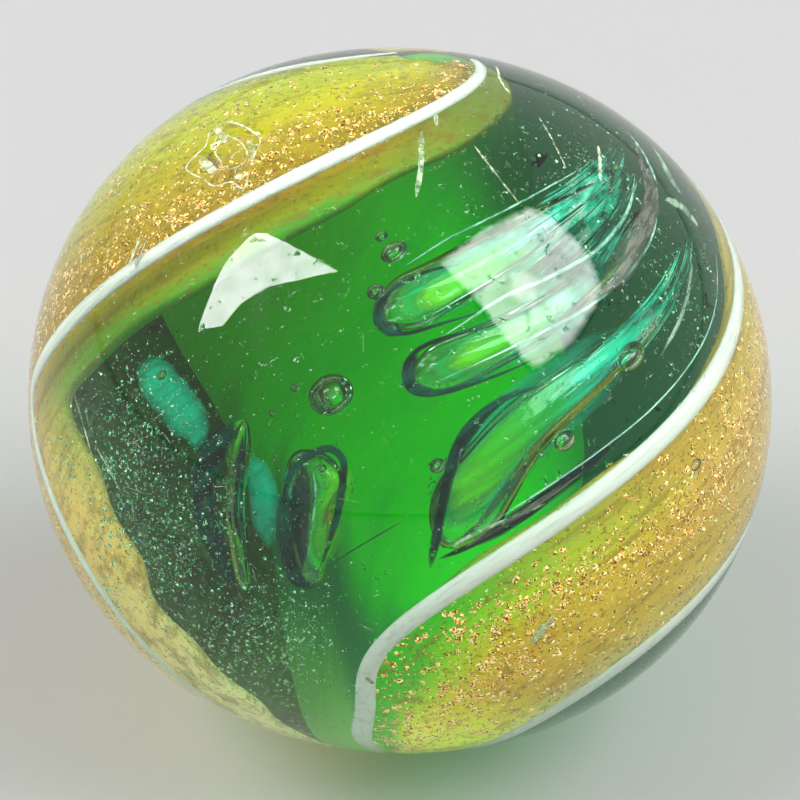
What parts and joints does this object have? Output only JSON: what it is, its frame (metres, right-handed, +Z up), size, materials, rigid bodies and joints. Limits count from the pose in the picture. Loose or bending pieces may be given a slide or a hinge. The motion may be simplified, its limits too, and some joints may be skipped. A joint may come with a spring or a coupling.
{
  "type": "glass marble",
  "caption": "Handmade green glass marble with yellow and goldstone swirls edged in white, slightly flattened at its poles, for play or display.",
  "frame": {"origin": "centre of the ball", "axes": "+Z up as the marble lies in the picture, camera towards +Y and down; the swirl's pole axis leans back from +Z and a little to +X"},
  "size_m": [0.019, 0.0188, 0.0184],
  "materials": {
    "green_glass": "clear green glass, fire polished, with fine pits and scratches",
    "core_glass": "bright green translucent glass",
    "yellow_glass": "yellow translucent glass",
    "goldstone_glass": "copper-brown glass full of bright flakes",
    "white_glass": "opaque white glass"
  },
  "bodies": {
    "root": {"glass_body": "green_glass", "green_core": "core_glass", "yellow_band_upper": "yellow_glass", "yellow_band_lower": "yellow_glass", "goldstone_band_upper": "goldstone_glass", "goldstone_band_lower": "goldstone_glass", "white_strand_upper_back": "white_glass", "white_strand_upper_front": "white_glass", "white_strand_lower_front": "white_glass", "white_strand_lower_back": "white_glass"}
  },
  "joints": []
}
